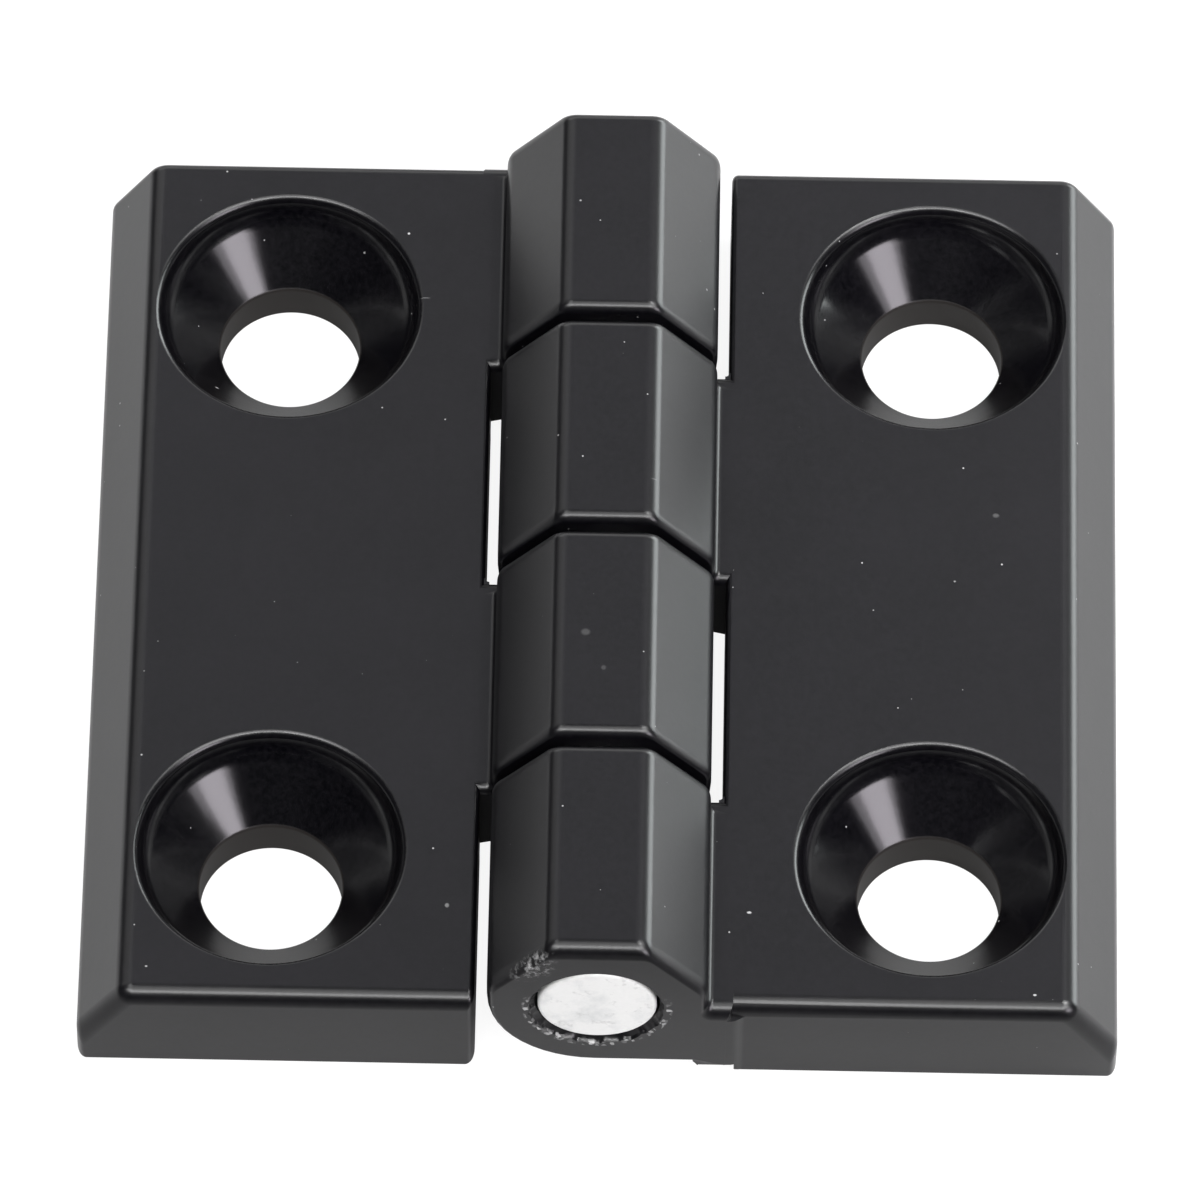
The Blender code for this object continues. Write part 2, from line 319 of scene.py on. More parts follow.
def foot_fillets(name, side):
    """Round inner corners at the slots' near ends, where a web meets the plate's wall."""
    mesh_data = bmesh.new()
    for index in own_knuckles(side):
        if index == KNUCKLES - 1:
            continue
        foot = knuckle_span(index)[1] + WEB_REACH
        wall = SLOT_WALL + WEB_LAP
        points = [(side * wall, foot - 2 * WEB_LAP), (side * wall, foot + FOOT_FILLET)]
        for step in range(END_STEPS + 1):
            angle = math.pi / 2 * step / END_STEPS
            across = SLOT_WALL - FOOT_FILLET * (1 - math.cos(angle))
            along = foot + FOOT_FILLET * (1 - math.sin(angle))
            points.append((side * across, along))
        points.append((side * (SLOT_WALL - FOOT_FILLET), foot - 2 * WEB_LAP))
        add_column(mesh_data, points, WEB_BOTTOM, LEAF_THICKNESS - FOOT_SINK)
    return new_object(name, mesh_data)


def overhang_blend(name):
    """The foot of the end knuckle's web, run back to the plate's near face."""
    stand = STACK_NEAR + LEAF_LENGTH / 2
    back = -LEAF_LENGTH / 2 + OVERHANG_LAP
    top = LEAF_THICKNESS - NEAR_DROP
    rings = []
    mesh_data = bmesh.new()
    for across, bottom, share in BLEND_POINTS:
        front = -LEAF_LENGTH / 2 + stand * share
        corners = ((front, bottom * MM), (back, bottom * MM), (back, top), (front, top))
        rings.append([mesh_data.verts.new((across * MM, along, up)) for along, up in corners])
    add_rings(mesh_data, rings)
    return new_object(name, mesh_data)


def chip_depth(angle):
    """How far the coating and edge are broken out round the bore's near mouth: mostly left and below."""
    low_side = 0.5 - 0.5 * math.cos(angle - CHIP_TURN)
    ragged = 0.5
    for count, phase, share in CHIP_WAVES:
        ragged += share * math.sin(count * angle + phase)
    broken = min(1.0, CHIP_LOW_SIDE_GAIN * low_side) * (CHIP_EVEN + CHIP_RAGGED * ragged)
    return CHIP_LEAST + (CHIP_MOST - CHIP_LEAST) * broken


def mouth_chips(name):
    """A tool that cuts the ragged edge of the bore's near mouth."""
    mesh_data = bmesh.new()
    matrix = along_pin()
    rings = []
    stations = [(-OVERRUN, 1.0)]
    stations += [(way_in * CHIP_ALONG, share) for way_in, share in CHIP_STATIONS]
    for depth, share in stations:
        ring = []
        for segment in range(CHIP_SEGMENTS):
            angle = 2 * math.pi * segment / CHIP_SEGMENTS
            radius = PIN_BORE + share * chip_depth(angle)
            spot = Vector((radius * math.cos(angle), -radius * math.sin(angle), STACK_NEAR + depth))
            ring.append(mesh_data.verts.new(matrix @ spot))
        rings.append(ring)
    add_rings(mesh_data, rings)
    return new_object(name, mesh_data)


def web_ends(name, side):
    mesh_data = bmesh.new()
    bottom = AXIS_HEIGHT - BARREL_DROP - WEB_RAMP_DROP
    corners = [
        (BARREL_HALF - WEB_LAP, bottom, 0.0),
        (WEB_END, bottom, 0.0),
        (WEB_END, LEAF_THICKNESS, 0.0),
        (BARREL_HALF - WEB_LAP, LEAF_THICKNESS, 0.0),
    ]
    for index in own_knuckles(side):
        near, far = knuckle_span(index)
        middle = (near + far) / 2
        add_prism(mesh_data, mirrored(corners, side), middle, far + WEB_REACH, 0.0, FAR_ROUND)
    return new_object(name, mesh_data)


def reliefs(name, side):
    mesh_data = bmesh.new()
    corners = [
        (SLOT_WALL - OVERRUN, -OVERRUN, 0.0),
        (RELIEF_EDGE, -OVERRUN, 0.0),
        (RELIEF_EDGE, WEB_BOTTOM, 0.0),
        (SLOT_WALL - OVERRUN, WEB_BOTTOM, 0.0),
    ]
    for index in own_knuckles(side):
        near, far = knuckle_span(index)
        low = near - KNUCKLE_GAP
        high = far + KNUCKLE_GAP
        if index == 0:
            low = -LEAF_LENGTH / 2 - OVERRUN
        if index == KNUCKLES - 1:
            high = LEAF_LENGTH / 2 + OVERRUN
        add_prism(mesh_data, mirrored(corners, side), low, high, 0.0, 0.0)
    return new_object(name, mesh_data)


def hole_profile():
    top = LEAF_THICKNESS
    neck = RIM_RADIUS - RIM_DRAFT
    neck_height = BORE_DEPTH + neck - BORE_RADIUS
    corners = [
        (0.0, BACK_BREAK - 2 * OVERRUN, 0.0),
        (BORE_RADIUS + BACK_BREAK + OVERRUN, -OVERRUN, 0.0),
        (BORE_RADIUS, BACK_BREAK, 0.0),
        (BORE_RADIUS, BORE_DEPTH, THROAT_ROUND),
        (neck, neck_height, SINK_ROUND),
        (RIM_RADIUS, top, RIM_ROUND),
        (RIM_RADIUS + OVERRUN, top + OVERRUN * math.tan(RIM_EXIT), 0.0),
        (RIM_RADIUS + OVERRUN, top + 2 * OVERRUN, 0.0),
        (0.0, top + 2 * OVERRUN, 0.0),
    ]
    return [(radius, height) for radius, height in round_corners(corners) if radius > BORE_RADIUS / 2]


def screw_holes(name, side):
    mesh_data = bmesh.new()
    profile = hole_profile()
    for end in (-1, 1):
        place = Matrix.Translation((side * HOLE_SIDEWAYS, end * HOLE_ALONG, 0.0))
        add_turned(mesh_data, profile, HOLE_SEGMENTS, place)
    return new_object(name, mesh_data)


def along_pin():
    """Turns a profile about the pin axis, with its heights running along +Y."""
    return Matrix.Translation((0.0, 0.0, AXIS_HEIGHT)) @ Matrix.Rotation(math.radians(-90.0), 4, "X")


def pin_bore(name):
    profile = [
        (PIN_BORE + MOUTH_BREAK + OVERRUN, STACK_NEAR - OVERRUN),
        (PIN_BORE, STACK_NEAR + MOUTH_BREAK),
        (PIN_BORE, STACK_FAR - MOUTH_BREAK),
        (PIN_BORE + MOUTH_BREAK + OVERRUN, STACK_FAR + OVERRUN),
    ]
    mesh_data = bmesh.new()
    add_turned(mesh_data, profile, PIN_SEGMENTS, along_pin())
    return new_object(name, mesh_data)


def settle(item, tools):
    """Applies the cuts and joins, removes the tools, and shades flats flat and rounds smooth."""
    for operation, tool in tools:
        modifier = item.modifiers.new(tool.name, "BOOLEAN")
        modifier.operation = operation
        modifier.solver = "EXACT"
        modifier.object = tool
    graph = bpy.context.evaluated_depsgraph_get()
    mesh = bpy.data.meshes.new_from_object(item.evaluated_get(graph))
    item.modifiers.clear()
    for _, tool in tools:
        bpy.data.objects.remove(tool, do_unlink=True)
    item.data = mesh
    item.data.name = item.name
    item.data.shade_smooth()
    item.data.set_sharp_from_angle(angle=SHARP_ANGLE)
    weighted = item.modifiers.new("weighted_normals", "WEIGHTED_NORMAL")
    weighted.keep_sharp = True
    return item


def leaf(name, side):
    mesh_data = bmesh.new()
    half = LEAF_LENGTH / 2
    outline = mirrored(plate_outline(), side)
    add_prism(mesh_data, outline, -half, half, NEAR_ROUND, FAR_ROUND, NEAR_DROP)
    item = new_object(name, mesh_data)
    tools = [
        ("UNION", knuckles(name + ".knuckles", side)),
        ("UNION", web_ends(name + ".web_ends", side)),
        ("UNION", foot_fillets(name + ".foot_fillets", side)),
        ("DIFFERENCE", reliefs(name + ".reliefs", side)),
        ("DIFFERENCE", screw_holes(name + ".screw_holes", side)),
        ("DIFFERENCE", pin_bore(name + ".pin_bore")),
    ]
    if side > 0:
        tools.insert(3, ("UNION", overhang_blend(name + ".overhang_blend")))
        tools.append(("DIFFERENCE", mouth_chips(name + ".mouth_chips")))
    return settle(item, tools)


def pin(name):
    near = STACK_NEAR + PIN_RECESS
    far = STACK_FAR - PIN_RECESS
    profile = []
    for step in range(END_STEPS + 1):
        angle = math.pi / 2 * step / END_STEPS
        inset = PIN_ROUND * (1 - math.sin(angle))
        profile.append((PIN_RADIUS - inset, near + PIN_ROUND * (1 - math.cos(angle))))
    profile += [(radius, near + far - height) for radius, height in reversed(profile)]
    mesh_data = bmesh.new()
    add_turned(mesh_data, profile, PIN_SEGMENTS, along_pin())
    item = new_object(name, mesh_data)
    item.data.shade_smooth()
    item.data.set_sharp_from_angle(angle=SHARP_ANGLE)
    return item


class Nodes:
    """Short calls for building a material's node tree."""

    def __init__(self, material):
        self.tree = material.node_tree
        self.shader = self.tree.nodes["Principled BSDF"]

    def add(self, kind, **settings):
        node = self.tree.nodes.new(kind)
        for key, value in settings.items():
            setattr(node, key, value)
        return node

    def link(self, source, target):
        self.tree.links.new(source, target)
        return target

    def noise(self, place, scale, detail=2.0, roughness=0.5):
        node = self.add("ShaderNodeTexNoise")
        node.inputs["Scale"].default_value = scale
        node.inputs["Detail"].default_value = detail
        node.inputs["Roughness"].default_value = roughness
        self.link(place, node.inputs["Vector"])
        return node.outputs["Fac"]

    def span(self, value, low, high, to_low=0.0, to_high=1.0):
        """Maps low..high to to_low..to_high, and holds the ends."""
        node = self.add("ShaderNodeMapRange")
        node.inputs["From Min"].default_value = low
        node.inputs["From Max"].default_value = high
        node.inputs["To Min"].default_value = to_low
        node.inputs["To Max"].default_value = to_high
        self.link(value, node.inputs["Value"])
        return node.outputs["Result"]

    def math(self, operation, first, second=None, third=None):
        node = self.add("ShaderNodeMath", operation=operation)
        for index, value in enumerate((first, second, third)):
            if value is None:
                continue
            if isinstance(value, float):
                node.inputs[index].default_value = value
            else:
                self.link(value, node.inputs[index])
        return node.outputs["Value"]

    def vector(self, operation, first, second=None, third=None):
        """Vector maths on a socket and optional fixed vectors. LENGTH gives a number."""
        node = self.add("ShaderNodeVectorMath", operation=operation)
        self.link(first, node.inputs[0])
        for index, value in ((1, second), (2, third)):
            if value is not None:
                node.inputs[index].default_value = value
        return node.outputs["Value" if operation == "LENGTH" else "Vector"]

    def mix(self, factor, first, second):
        """Mixes two colours, each a socket or a tuple."""
        node = self.add("ShaderNodeMix", data_type="RGBA")
        self.link(factor, node.inputs["Factor"])
        for name, value in (("A", first), ("B", second)):
            socket = [s for s in node.inputs if s.name == name and s.type == "RGBA"][0]
            if isinstance(value, tuple):
                socket.default_value = value
            else:
                self.link(value, socket)
        return [s for s in node.outputs if s.type == "RGBA"][0]

    def axes(self, vector):
        """The X, Y and Z of a vector, by name."""
        node = self.add("ShaderNodeSeparateXYZ")
        self.link(vector, node.inputs["Vector"])
        return node.outputs

    def cells(self, place, cell):
        """A cell pattern: the distance to each cell's point, in cells, and the cell's random colour."""
        node = self.add("ShaderNodeTexVoronoi")
        node.inputs["Scale"].default_value = 1.0 / cell
        self.link(place, node.inputs["Vector"])
        split = self.add("ShaderNodeSeparateColor")
        self.link(node.outputs["Color"], split.inputs["Color"])
        return node.outputs["Distance"], split.outputs

    def bump(self, height, distance, normal=None):
        node = self.add("ShaderNodeBump")
        node.inputs["Strength"].default_value = 1.0
        node.inputs["Distance"].default_value = distance
        self.link(height, node.inputs["Height"])
        if normal is not None:
            self.link(normal, node.inputs["Normal"])
        return node.outputs["Normal"]


def plain_material(name):
    material = bpy.data.materials.new(name)
    material.use_nodes = True
    return material


# Powder coat: near black, with a fine mottle between two tones
COAT_DARK = (0.0004, 0.0004, 0.0009, 1.0)
COAT_LIGHT = (0.0036, 0.0033, 0.0044, 1.0)
COAT_GLOSS_IOR = 1.5
COAT_ROUGH = (0.28, 0.30)
SINK_ROUGH = 0.15
BORE_ROUGH = 0.30
BORE_COLOUR = (0.010, 0.008, 0.007, 1.0)
BORE_EDGE_START = 0.02 * MM
BORE_EDGE_END = 0.12 * MM

# Scales of the coat's patterns, in cells per metre, their weights in the mottle, and heights of bumps
CLOUD_SCALE = 160.0
WAVE_SCALE = 700.0
MOTTLE_SCALE = 3600.0
GRAIN_SCALE = 7000.0
CLOUD_WEIGHT = 0.3
MOTTLE_WEIGHT = 0.7
MOTTLE_SPAN = (0.36, 0.64)
GRAIN_SPAN = (0.3, 0.7)
WAVE_HEIGHT = 0.005 * MM
GRAIN_HEIGHT = 0.0006 * MM
WEAR_HEIGHT = 0.05 * MM

# Dust: the size of its cells, the share of them that hold a speck, the largest speck, and the smallest
# speck and the soft edge as shares of that
DUST_COLOUR = (0.42, 0.42, 0.42, 1.0)
DUST_CELL = 0.62 * MM
DUST_SHARE = 0.12
DUST_RADIUS = 0.06 * MM
DUST_SMALLEST = 0.4
DUST_EDGE = 0.3
DUST_STRENGTH = 0.7

# Broken and rubbed coating at the pin's near end
WORN_COLOUR = (0.30, 0.30, 0.30, 1.0)
FLAKE_INNER = 3.28 * MM
FLAKE_INNER_EDGE = 0.05 * MM
FLAKE_OUTER = 3.52 * MM
FLAKE_OUTER_EDGE = 0.12 * MM
FLAKE_LOW = -0.4 * MM
FLAKE_HIGH = 1.0 * MM
FLAKE_DEPTH = 0.15 * MM
FLAKE_DEPTH_END = 0.35 * MM
FLAKE_CELL = 0.20 * MM
FLAKE_SPAN = (0.62, 0.98)
RUB_PLACE = (-3.6 * MM, -24.3 * MM, 10.3 * MM)
RUB_WIDE = 1.8 * MM
RUB_ALONG = 0.55 * MM
RUB_FADE = (0.3, 1.0)
SMEAR_SCALE = 3200.0
SMEAR_SPAN = (0.50, 0.68)

# Bare metal of the pin
PIN_DULL = (0.53, 0.54, 0.54, 1.0)
PIN_PALE = (0.67, 0.67, 0.66, 1.0)
PIN_PITS = (0.34, 0.34, 0.34, 1.0)
PIN_METALLIC = 0.35
PIN_ROUGH = (0.45, 0.65)
PIN_CLOUD_SCALE = 480.0
PIN_PIT_SCALE = 1500.0
PIN_GRAIN_SCALE = 5000.0
PIN_CLOUD_SPAN = (0.36, 0.56)
PIN_PIT_SPAN = (0.28, 0.40)
PIN_PIT_SHARE = 0.5
PIN_CLOUD_HEIGHT = 0.05 * MM
PIN_PIT_HEIGHT = 0.012 * MM

# Single specks and scuffs that the photograph shows, as millimetres across, along and up, half width,
# half length, and how pale each one is.
LEFT_MARKS = (
    (-10.1, 20.0, 6.0, 0.07, 0.07, 0.9),
    (-12.3, 19.95, 4.3, 0.07, 0.07, 0.6),
    (-19.4, 12.3, 3.5, 0.12, 0.06, 0.8),
    (-9.2, 16.2, 6.0, 0.26, 0.03, 0.25),
    (-7.3, -18.7, 6.0, 0.11, 0.13, 0.3),
    (-21.6, -22.4, 6.0, 0.07, 0.05, 0.6),
    (-1.6, 18.5, 11.45, 0.06, 0.06, 0.5),
    (-0.9, -6.5, 11.45, 0.24, 0.20, 0.08),
    (0.0, -8.5, 11.45, 0.13, 0.14, 0.07),
    (4.2, 23.0, 9.0, 0.05, 0.06, 0.6),
    (4.7, 15.4, 8.4, 0.07, 0.07, 0.6),
    (5.1, 14.6, 7.9, 0.07, 0.05, 0.7),
)
RIGHT_MARKS = (
    (22.0, 19.5, 6.0, 0.05, 0.05, 0.4),
    (17.0, 0.2, 6.0, 0.06, 0.06, 0.4),
    (10.5, -14.0, 6.0, 0.08, 0.06, 0.9),
    (7.2, -18.8, 6.0, 0.12, 0.07, 0.8),
    (20.9, -23.1, 6.0, 0.09, 0.06, 0.8),
    (19.0, 4.05, 6.0, 0.17, 0.13, 0.12),
    (22.8, 8.9, 5.9, 0.05, 0.11, 0.6),
    (-2.7, 11.8, 11.45, 0.06, 0.06, 0.5),
    (2.3, 2.4, 11.4, 0.20, 0.05, 0.14),
)
# Where a mark starts to fade and where it ends, as shares of its half size
MARK_FADE = (0.55, 1.15)


def pale_marks(nodes, place, marks):
    """The palest of the marks at each point, 0 where there is none."""
    most = None
    for across, along, up, half_wide, half_long, shade in marks:
        half_high = max(half_wide, half_long)
        scale = (1 / (half_wide * MM), 1 / (half_long * MM), 1 / (half_high * MM))
        shift = (-across / half_wide, -along / half_long, -up / half_high)
        reach = nodes.vector("LENGTH", nodes.vector("MULTIPLY_ADD", place, scale, shift))
        value = nodes.span(reach, *MARK_FADE, shade, 0.0)
        most = value if most is None else nodes.math("MAXIMUM", most, value)
    return most


def flakes(nodes, place, cell, low, high):
    """Irregular flakes: the cells of a fine pattern whose random value falls in a range."""
    shade = nodes.cells(place, cell)[1]
    return nodes.span(shade["Red"], low, high)


def broken_ring(nodes, place):
    """Pale flakes of broken coating below and beside the pin's near end."""
    from_axis = nodes.vector("SUBTRACT", place, (0.0, STACK_NEAR, AXIS_HEIGHT))
    flat = nodes.vector("LENGTH", nodes.vector("MULTIPLY", from_axis, (1.0, 0.0, 1.0)))
    parts = nodes.axes(from_axis)
    inside = nodes.span(flat, FLAKE_INNER, FLAKE_INNER + FLAKE_INNER_EDGE)
    outside = nodes.span(flat, FLAKE_OUTER, FLAKE_OUTER + FLAKE_OUTER_EDGE, 1.0, 0.0)
    lower = nodes.span(parts["Z"], FLAKE_LOW, FLAKE_HIGH, 1.0, 0.0)
    at_end = nodes.span(parts["Y"], FLAKE_DEPTH, FLAKE_DEPTH_END, 1.0, 0.0)
    round_mouth = nodes.math("MULTIPLY", inside, outside)
    ring = nodes.math("MULTIPLY", round_mouth, nodes.math("MULTIPLY", lower, at_end))
    return nodes.math("MULTIPLY", flakes(nodes, place, FLAKE_CELL, *FLAKE_SPAN), ring)


def rubbed_corner(nodes, place):
    """Pale smears on the corner above the pin's near end, to the left."""
    off_rub = nodes.vector("SUBTRACT", place, RUB_PLACE)
    reach = nodes.vector("MULTIPLY", off_rub, (1 / RUB_WIDE, 1 / RUB_ALONG, 1 / RUB_WIDE))
    rubbed = nodes.span(nodes.vector("LENGTH", reach), *RUB_FADE, 1.0, 0.0)
    smears = nodes.span(nodes.noise(place, SMEAR_SCALE, 4.0, 0.6), *SMEAR_SPAN)
    return nodes.math("MULTIPLY", rubbed, smears)


def dust(nodes, place):
    """Sparse specks: one in some of the cells, cut off at the radius. Gives 0 to 1."""
    distance, shade = nodes.cells(place, DUST_CELL)
    largest = DUST_RADIUS / DUST_CELL
    smallest = DUST_SMALLEST * DUST_RADIUS / DUST_CELL
    picked = nodes.math("LESS_THAN", shade["Red"], DUST_SHARE)
    reach = nodes.span(shade["Green"], 0.0, 1.0, smallest, largest)
    inside = nodes.math("SUBTRACT", reach, distance)
    soft = nodes.span(inside, 0.0, DUST_EDGE * DUST_RADIUS / DUST_CELL)
    return nodes.math("MULTIPLY", nodes.math("MULTIPLY", soft, picked), DUST_STRENGTH)


def hole_distance(nodes, place):
    """Distance from the axis of the nearest screw hole."""
    off_hole = nodes.vector("SUBTRACT", nodes.vector("ABSOLUTE", place), (HOLE_SIDEWAYS, HOLE_ALONG, 0.0))
    return nodes.vector("LENGTH", nodes.vector("MULTIPLY", off_hole, (1.0, 1.0, 0.0)))


def coat_roughness(nodes, place, grain, off_hole, in_bore):
    """Satin outside, smoother in the countersinks, rougher in the bores. The flat back is all satin."""
    outside_sink = nodes.span(off_hole, RIM_RADIUS - RIM_DRAFT, RIM_RADIUS + RIM_DRAFT)
    at_back = nodes.span(nodes.axes(place)["Z"], BACK_BREAK, 2 * BACK_BREAK, 1.0, 0.0)
    outside_sink = nodes.math("MAXIMUM", outside_sink, at_back)
    rough = nodes.span(grain, *GRAIN_SPAN, *COAT_ROUGH)
    rough = nodes.math("MULTIPLY", nodes.math("SUBTRACT", rough, SINK_ROUGH), outside_sink)
    rough = nodes.math("ADD", rough, SINK_ROUGH)
    return nodes.math("ADD", rough, nodes.math("MULTIPLY", in_bore, BORE_ROUGH))


def coat_material(name, marks, worn_mouth):
    """Satin black powder coat with a fine grain, a slow waviness, some dust and the marks of its leaf."""
    material = plain_material(name)
    nodes = Nodes(material)
    place = nodes.add("ShaderNodeTexCoord").outputs["Object"]
    cloud = nodes.noise(place, CLOUD_SCALE, 3.0)
    grain = nodes.noise(place, GRAIN_SCALE, 2.0, 0.6)
    waves = nodes.noise(place, WAVE_SCALE, 2.0)
    fine = nodes.noise(place, MOTTLE_SCALE, 3.0, 0.7)
    specks = nodes.math("MAXIMUM", dust(nodes, place), pale_marks(nodes, place, marks))
    mottle = nodes.math("MULTIPLY_ADD", cloud, CLOUD_WEIGHT, nodes.math("MULTIPLY", fine, MOTTLE_WEIGHT))
    colour = nodes.mix(nodes.span(mottle, *MOTTLE_SPAN), COAT_DARK, COAT_LIGHT)
    colour = nodes.mix(specks, colour, DUST_COLOUR)
    normal = nodes.bump(waves, WAVE_HEIGHT)
    normal = nodes.bump(grain, GRAIN_HEIGHT, normal)
    if worn_mouth:
        wear = nodes.math("MAXIMUM", broken_ring(nodes, place), rubbed_corner(nodes, place))
        colour = nodes.mix(wear, colour, WORN_COLOUR)
        normal = nodes.bump(wear, WEAR_HEIGHT, normal)
    off_hole = hole_distance(nodes, place)
    in_bore = nodes.span(off_hole, BORE_RADIUS + BORE_EDGE_START, BORE_RADIUS + BORE_EDGE_END, 1.0, 0.0)
    colour = nodes.mix(in_bore, colour, BORE_COLOUR)
    nodes.link(colour, nodes.shader.inputs["Base Color"])
    nodes.link(normal, nodes.shader.inputs["Normal"])
    rough = coat_roughness(nodes, place, grain, off_hole, in_bore)
    nodes.link(rough, nodes.shader.inputs["Roughness"])
    nodes.shader.inputs["IOR"].default_value = COAT_GLOSS_IOR
    return material


def pin_material():
    """Bare cropped metal: pale and dull, with darker rubbed clouds and fine tearing."""
    material = plain_material("bare_pin_metal")
    nodes = Nodes(material)
    place = nodes.add("ShaderNodeTexCoord").outputs["Object"]
    clouds = nodes.noise(place, PIN_CLOUD_SCALE, 5.0, 0.65)
    pits = nodes.noise(place, PIN_PIT_SCALE, 3.0, 0.6)
    grain = nodes.noise(place, PIN_GRAIN_SCALE, 3.0)
    colour = nodes.mix(nodes.span(clouds, *PIN_CLOUD_SPAN), PIN_DULL, PIN_PALE)
    colour = nodes.mix(nodes.span(pits, *PIN_PIT_SPAN, PIN_PIT_SHARE, 0.0), colour, PIN_PITS)
    nodes.link(colour, nodes.shader.inputs["Base Color"])
    nodes.shader.inputs["Metallic"].default_value = PIN_METALLIC
    rough = nodes.span(grain, *GRAIN_SPAN, *PIN_ROUGH)
    nodes.link(rough, nodes.shader.inputs["Roughness"])
    normal = nodes.bump(clouds, PIN_CLOUD_HEIGHT)
    nodes.link(nodes.bump(pits, PIN_PIT_HEIGHT, normal), nodes.shader.inputs["Normal"])
    return material


FLOOR_SIZE = 8.0
FLOOR_SINK = 0.02 * MM
FLOOR_GLOW = 0.90
FLOOR_GLOSSY_GLOW = 0.05
FLOOR_COLOUR = (0.80, 0.80, 0.80, 1.0)
FLOOR_SEEN_COLOUR = (0.14, 0.14, 0.14, 1.0)

# What the part's own surfaces mirror of the floor, with painted shade: darker in front of the part, and a
# painted shadow under it
FLOOR_GLOSSY_COLOUR = (0.54, 0.54, 0.54, 1.0)
FLOOR_FRONT_PAINTED_SHADE = (0.12, 0.12, 0.12, 1.0)
FLOOR_FRONT_NEAR = -22.0 * MM
FLOOR_FRONT_FAR = -38.0 * MM
FLOOR_UNDER_PAINTED_SHADOW = (0.20, 0.20, 0.20, 1.0)
FLOOR_UNDER_EDGE = -0.5 * MM


def mirrored_floor(nodes):
    """The floor's grey as the part's surfaces mirror it, with painted shade in front and a painted shadow
    under the part.
    """
    place = nodes.add("ShaderNodeTexCoord").outputs["Object"]
    # Painted shade: the mirrored floor goes dark from near the part's front to farther in front
    nearness = nodes.span(nodes.axes(place)["Y"], FLOOR_FRONT_FAR, FLOOR_FRONT_NEAR)
    grey = nodes.mix(nearness, FLOOR_FRONT_PAINTED_SHADE, FLOOR_GLOSSY_COLOUR)
    # Painted shadow: the mirrored floor is darker under the part's outline, fading over its last half
    # millimetre
    beyond = nodes.vector("SUBTRACT", nodes.vector("ABSOLUTE", place), (WIDTH / 2, LEAF_LENGTH / 2, 0.0))
    parts = nodes.axes(beyond)
    beyond = nodes.span(nodes.math("MAXIMUM", parts["X"], parts["Y"]), FLOOR_UNDER_EDGE, 0.0)
    return nodes.mix(beyond, FLOOR_UNDER_PAINTED_SHADOW, grey)


def floor_material():
    """Plain white: what the camera sees is near white, and keeps a faint shadow."""
    material = plain_material("white_floor")
    nodes = Nodes(material)
    path = nodes.add("ShaderNodeLightPath")
    seen = nodes.math("MAXIMUM", path.outputs["Is Camera Ray"], path.outputs["Is Transmission Ray"])
    mirrored_in = path.outputs["Is Glossy Ray"]
    strength = nodes.math("MULTIPLY", seen, FLOOR_GLOW)
    strength = nodes.math("ADD", strength, nodes.math("MULTIPLY", mirrored_in, FLOOR_GLOSSY_GLOW))
    glow = nodes.add("ShaderNodeEmission")
    nodes.link(strength, glow.inputs["Strength"])
    # What glossy rays see of the floor carries painted shade in front and a painted shadow under the part
    grey = nodes.mix(mirrored_in, FLOOR_COLOUR, mirrored_floor(nodes))
    grey = nodes.mix(seen, grey, FLOOR_SEEN_COLOUR)
    lit = nodes.add("ShaderNodeBsdfDiffuse")
    nodes.link(grey, lit.inputs["Color"])
    both = nodes.add("ShaderNodeAddShader")
    nodes.link(glow.outputs["Emission"], both.inputs[0])
    nodes.link(lit.outputs["BSDF"], both.inputs[1])
    output = nodes.tree.nodes["Material Output"]
    nodes.link(both.outputs["Shader"], output.inputs["Surface"])
    nodes.tree.nodes.remove(nodes.shader)
    return material


def floor():
    mesh_data = bmesh.new()
    bmesh.ops.create_grid(mesh_data, x_segments=1, y_segments=1, size=FLOOR_SIZE / 2)
    item = new_object("floor", mesh_data)
    item.location.z = -FLOOR_SINK
    item.data.materials.append(floor_material())
    return item


BACK_TINT = (0.98, 0.98, 1.05)
STREAK_TINT = (1.0, 0.94, 1.02)
HALO_TINT = (1.0, 0.95, 1.02)
SLOPE_TINT = (0.95, 1.0, 1.0)


def softbox(name, azimuth, elevation, wide, high, radiance, colour=(1.0, 1.0, 1.0), distance=0.9,
            aim=(0.0, 0.0, 0.0), spread=180.0):
    """An area lamp by its direction and angular size in degrees. Azimuth 0 is +X and 90 is +Y."""
    lamp = bpy.data.lights.new(name, "AREA")
    lamp.shape = "RECTANGLE"
    lamp.size = 2 * distance * math.tan(math.radians(wide) / 2)
    lamp.size_y = 2 * distance * math.tan(math.radians(high) / 2)
    lamp.color = colour
    lamp.energy = radiance * math.pi * lamp.size * lamp.size_y
    item = bpy.data.objects.new(name, lamp)
    bpy.context.scene.collection.objects.link(item)
    turn = math.radians(azimuth)
    rise = math.radians(elevation)
    out = Vector((math.cos(rise) * math.cos(turn), math.cos(rise) * math.sin(turn), math.sin(rise)))
    lamp.spread = math.radians(spread)
    item.location = Vector(aim) + out * distance
    item.rotation_euler = out.to_track_quat("Z", "Y").to_euler()
    return item


def back_lights():
    """What the flat tops mirror: a dim high box and a brighter low one behind the part."""
    softbox("back_top", 90.0, 58.0, 64.0, 30.0, 0.65, BACK_TINT)
    softbox("back_low", 90.0, 25.0, 80.0, 28.0, 1.7)


def key_lights():
    """The crest lines along the near edges."""
    for name, azimuth in (("key_left", -128.0), ("key_middle", -90.0), ("key_right", -52.0)):
        softbox(name, azimuth, 52.0, 30.0, 12.0, 10.0)
    softbox("over_top", -90.0, 74.0, 60.0, 24.0, 2.2)


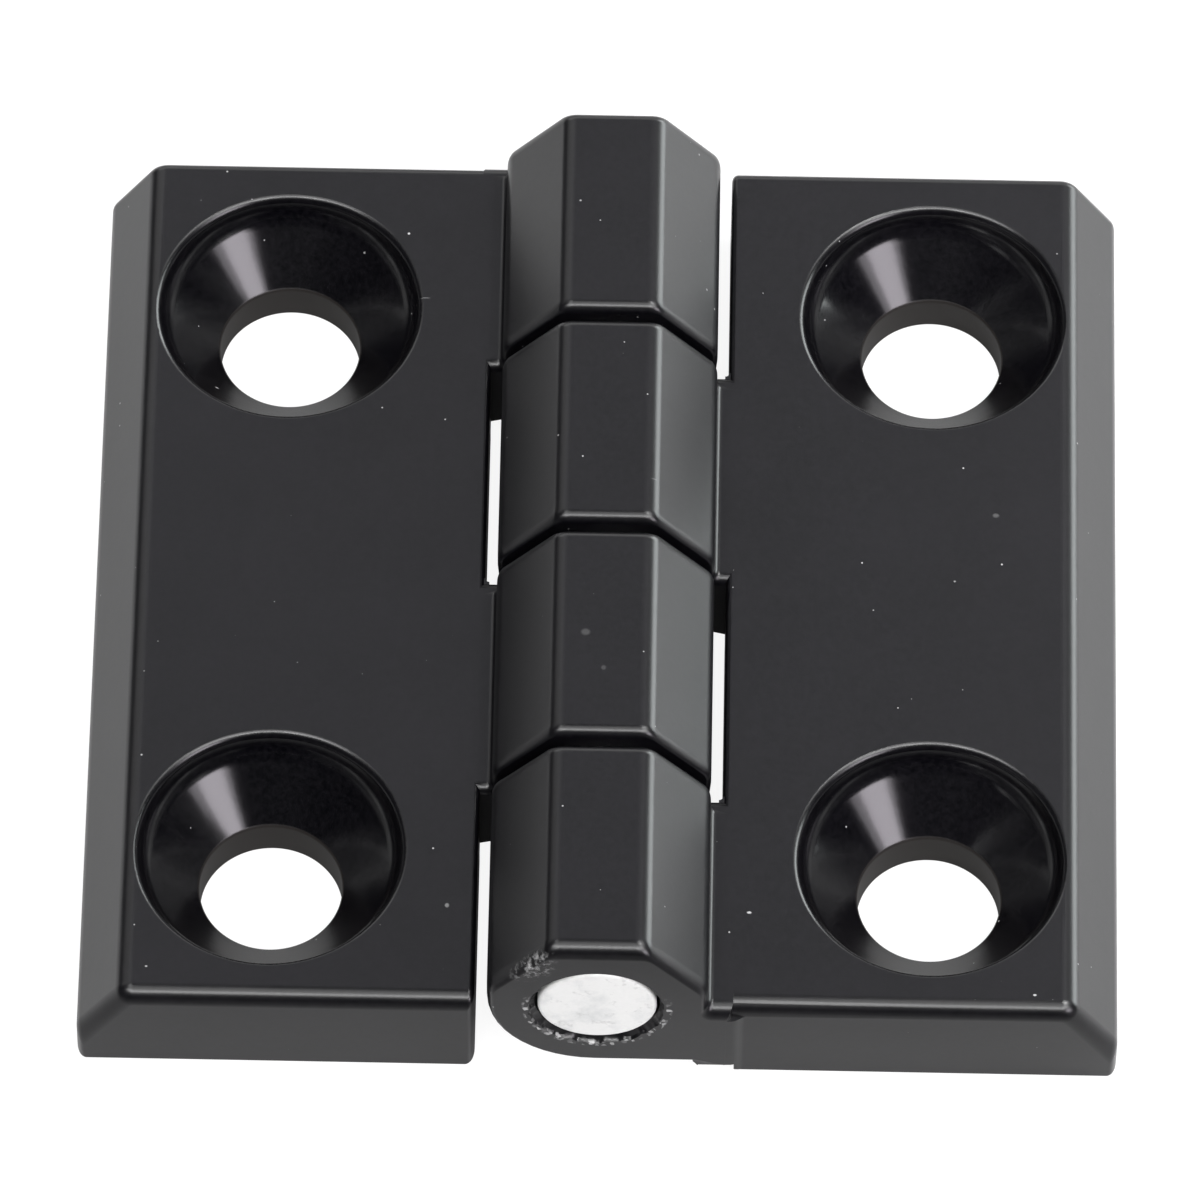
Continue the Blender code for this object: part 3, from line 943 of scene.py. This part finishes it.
def side_lights():
    softbox("right_top", -3.0, 55.0, 44.0, 22.0, 3.0)
    softbox("left_top", 142.0, 36.0, 40.0, 28.0, 0.7)


def streak_lights():
    """The streaks in the countersinks."""
    softbox("right_front", -43.0, 28.0, 19.0, 15.0, 5.8, STREAK_TINT)
    softbox("right_front_halo", -41.0, 30.0, 30.0, 20.0, 3.4, HALO_TINT)


def slope_lights():
    """The knuckles' right slopes, and the floor beside the part that the bevels mirror."""
    softbox("right_back", 35.0, 11.0, 44.0, 22.0, 7.6, SLOPE_TINT)
    near = {"distance": 0.3, "spread": 40.0}
    softbox("right_floor", 0.0, 80.0, 24.0, 24.0, 5.5, aim=(0.135, 0.03, 0.0), **near)
    softbox("left_floor", 180.0, 80.0, 24.0, 24.0, 1.0, aim=(-0.12, 0.03, 0.0), **near)


def lights():
    back_lights()
    key_lights()
    side_lights()
    streak_lights()
    slope_lights()


WORLD_GREY = 0.03


def world():
    item = bpy.data.worlds.new("studio")
    item.use_nodes = True
    background = item.node_tree.nodes["Background"]
    background.inputs["Color"].default_value = (WORLD_GREY, WORLD_GREY, WORLD_GREY, 1.0)
    background.inputs["Strength"].default_value = 1.0
    bpy.context.scene.world = item


def camera():
    data = bpy.data.cameras.new("photo_camera")
    data.sensor_width = SENSOR
    data.lens = FOCAL_PIXELS / FRAME_PIXELS * SENSOR
    data.clip_end = FARTHEST_SEEN
    item = bpy.data.objects.new("photo_camera", data)
    item.location = CAMERA_PLACE
    item.rotation_euler = CAMERA_TURN
    bpy.context.scene.collection.objects.link(item)
    bpy.context.scene.camera = item


def dress(piece, node, body, material):
    piece.data.materials.clear()
    piece.data.materials.append(material)
    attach(piece, body)
    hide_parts(node)


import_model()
camera()
lights()
world()
floor()
left_coat = coat_material("left_satin_black_coat", LEFT_MARKS, False)
right_coat = coat_material("right_satin_black_coat", RIGHT_MARKS, True)
dress(leaf("left_leaf_cast", -1), "left_leaf", "left", left_coat)
dress(leaf("right_leaf_cast", 1), "right_leaf", "right", right_coat)
dress(pin("bare_pin_rod"), "hinge_pin", "right", pin_material())
bpy.context.scene.view_settings.view_transform = "Standard"
